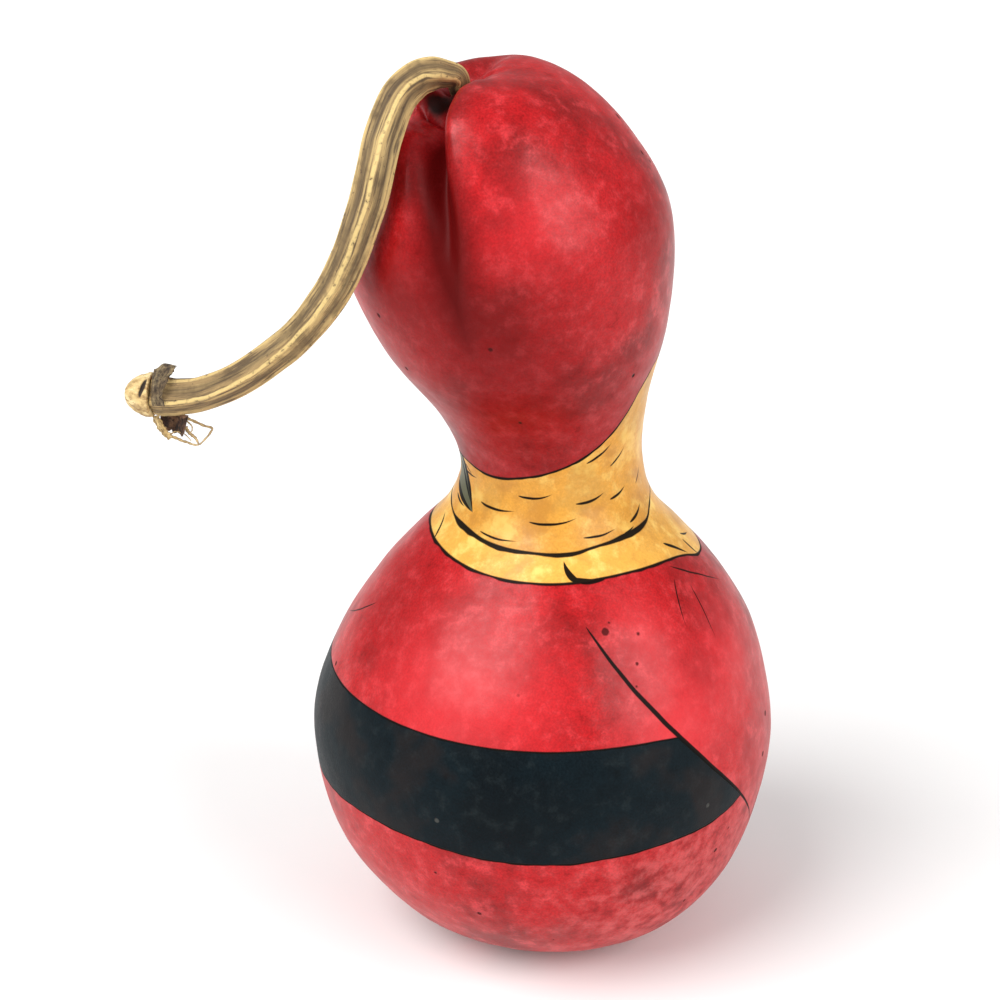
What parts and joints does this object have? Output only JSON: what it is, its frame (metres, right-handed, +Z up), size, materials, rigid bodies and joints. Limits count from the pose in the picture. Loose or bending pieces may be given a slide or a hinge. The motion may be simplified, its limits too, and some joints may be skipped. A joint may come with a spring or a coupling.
{
  "type": "dried bottle gourd",
  "caption": "Waisted dried bottle gourd, dyed red with a yellow neck and a black belt, with its arched dry stem hanging to one side.",
  "frame": {"origin": "centre of the flat foot that the gourd stands on", "axes": "+Z up through the gourd's height, -Y the front, +X to the right seen from the front; the stem hangs towards -X"},
  "size_m": [0.1626, 0.121, 0.2324],
  "materials": {
    "gourd_skin": "leather dye under a satin varnish, with engraved ink lines",
    "stem_husk": "dry ribbed straw-brown stalk, unvarnished",
    "vine_wood": "dry pale straw-coloured knot",
    "bract_paper": "papery mottled dark brown scale",
    "torn_bark": "torn dry bark, pale inside",
    "husk": "curled dry husk, dull reddish brown",
    "fibre": "bare straw-coloured plant fibre"
  },
  "bodies": {
    "root": {"gourd": "gourd_skin", "stem": "stem_husk", "vine_node": "vine_wood", "bract_flap": "bract_paper", "bark_strip": "torn_bark", "husk_curl": "husk", "fibre_bent": "fibre", "fibre_loop": "fibre"}
  },
  "joints": []
}
